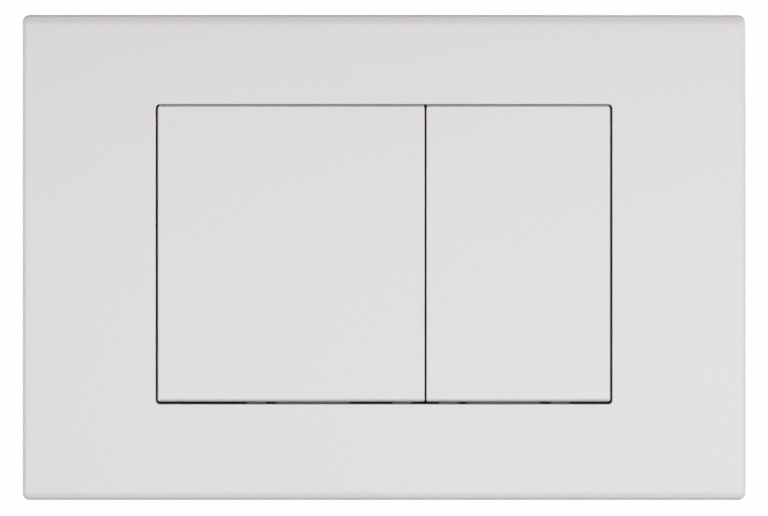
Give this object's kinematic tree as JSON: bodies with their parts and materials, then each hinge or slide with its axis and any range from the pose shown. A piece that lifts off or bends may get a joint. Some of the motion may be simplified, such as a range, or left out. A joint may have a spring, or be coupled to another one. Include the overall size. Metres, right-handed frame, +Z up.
{
  "type": "dual flush plate",
  "caption": "Rectangular wall plate with a wide full flush button and a narrow half flush button, hinged at the top, over sprung plungers with adjustable push rods.",
  "frame": {"origin": "centre of the plate's outline on the wall's surface, in the plane of the plate's rear rim", "axes": "+X to the right as seen from the room, +Y into the wall, +Z up; the face looks along -Y"},
  "size_m": [0.246, 0.095, 0.165],
  "materials": {
    "white_plastic": "smooth moulded gloss",
    "dark_plastic": "matte moulded",
    "slate_plastic": "matte moulded",
    "grey_plastic": "matte moulded",
    "natural_plastic": "smooth bearing plastic",
    "blue_plastic": "matte moulded",
    "zinc_steel": "zinc plated",
    "bright_steel": "bright drawn",
    "spring_steel": "bright spring wire",
    "rubber": "soft matte"
  },
  "bodies": {
    "plate": {"face_plate": "white_plastic", "button_carrier": "dark_plastic", "carrier_screws": "zinc_steel", "full_hinge_pins": "bright_steel", "half_hinge_pins": "bright_steel", "full_guide_tower": "grey_plastic", "half_guide_tower": "grey_plastic", "full_return_spring": "spring_steel", "half_return_spring": "spring_steel", "rest_buffers": "rubber", "stop_buffers": "rubber", "mounting_frame": "grey_plastic", "fixing_studs": "zinc_steel", "fixing_washers": "zinc_steel", "fixing_nuts": "zinc_steel"},
    "full_button": {"full_flush_button": "white_plastic", "full_stop_bar": "slate_plastic"},
    "half_button": {"half_flush_button": "white_plastic", "half_stop_bar": "slate_plastic"},
    "full_rod": {"full_plunger": "natural_plastic", "full_retaining_clip": "spring_steel", "full_push_rod": "zinc_steel", "full_lock_nut": "zinc_steel", "full_rod_tip": "blue_plastic"},
    "half_rod": {"half_plunger": "natural_plastic", "half_retaining_clip": "spring_steel", "half_push_rod": "zinc_steel", "half_lock_nut": "zinc_steel", "half_rod_tip": "blue_plastic"}
  },
  "joints": [
    {"name": "full_press", "type": "hinge", "parent": "plate", "child": "full_button", "pos_m": [-0.03155, -0.004, 0.05635], "axis": [1, 0, 0], "range_deg": [0, 5.5], "stiffness_Nm_per_rad": 3.7, "springref_deg": -3.78},
    {"name": "half_press", "type": "hinge", "parent": "plate", "child": "half_button", "pos_m": [0.04568, -0.004, 0.05635], "axis": [1, 0, 0], "range_deg": [0, 5.5], "stiffness_Nm_per_rad": 3.7, "springref_deg": -3.78},
    {"name": "full_rod_slide", "type": "slide", "parent": "plate", "child": "full_rod", "axis": [0, 1, 0], "range_m": [0, 0.0059], "deforming": ["full_return_spring"]},
    {"name": "half_rod_slide", "type": "slide", "parent": "plate", "child": "half_rod", "axis": [0, 1, 0], "range_m": [0, 0.0059], "deforming": ["half_return_spring"]}
  ],
  "couplings": [
    {"joint": "full_rod_slide", "follows": "full_press", "m_per_rad": 0.0612},
    {"joint": "half_rod_slide", "follows": "half_press", "m_per_rad": 0.0612}
  ]
}
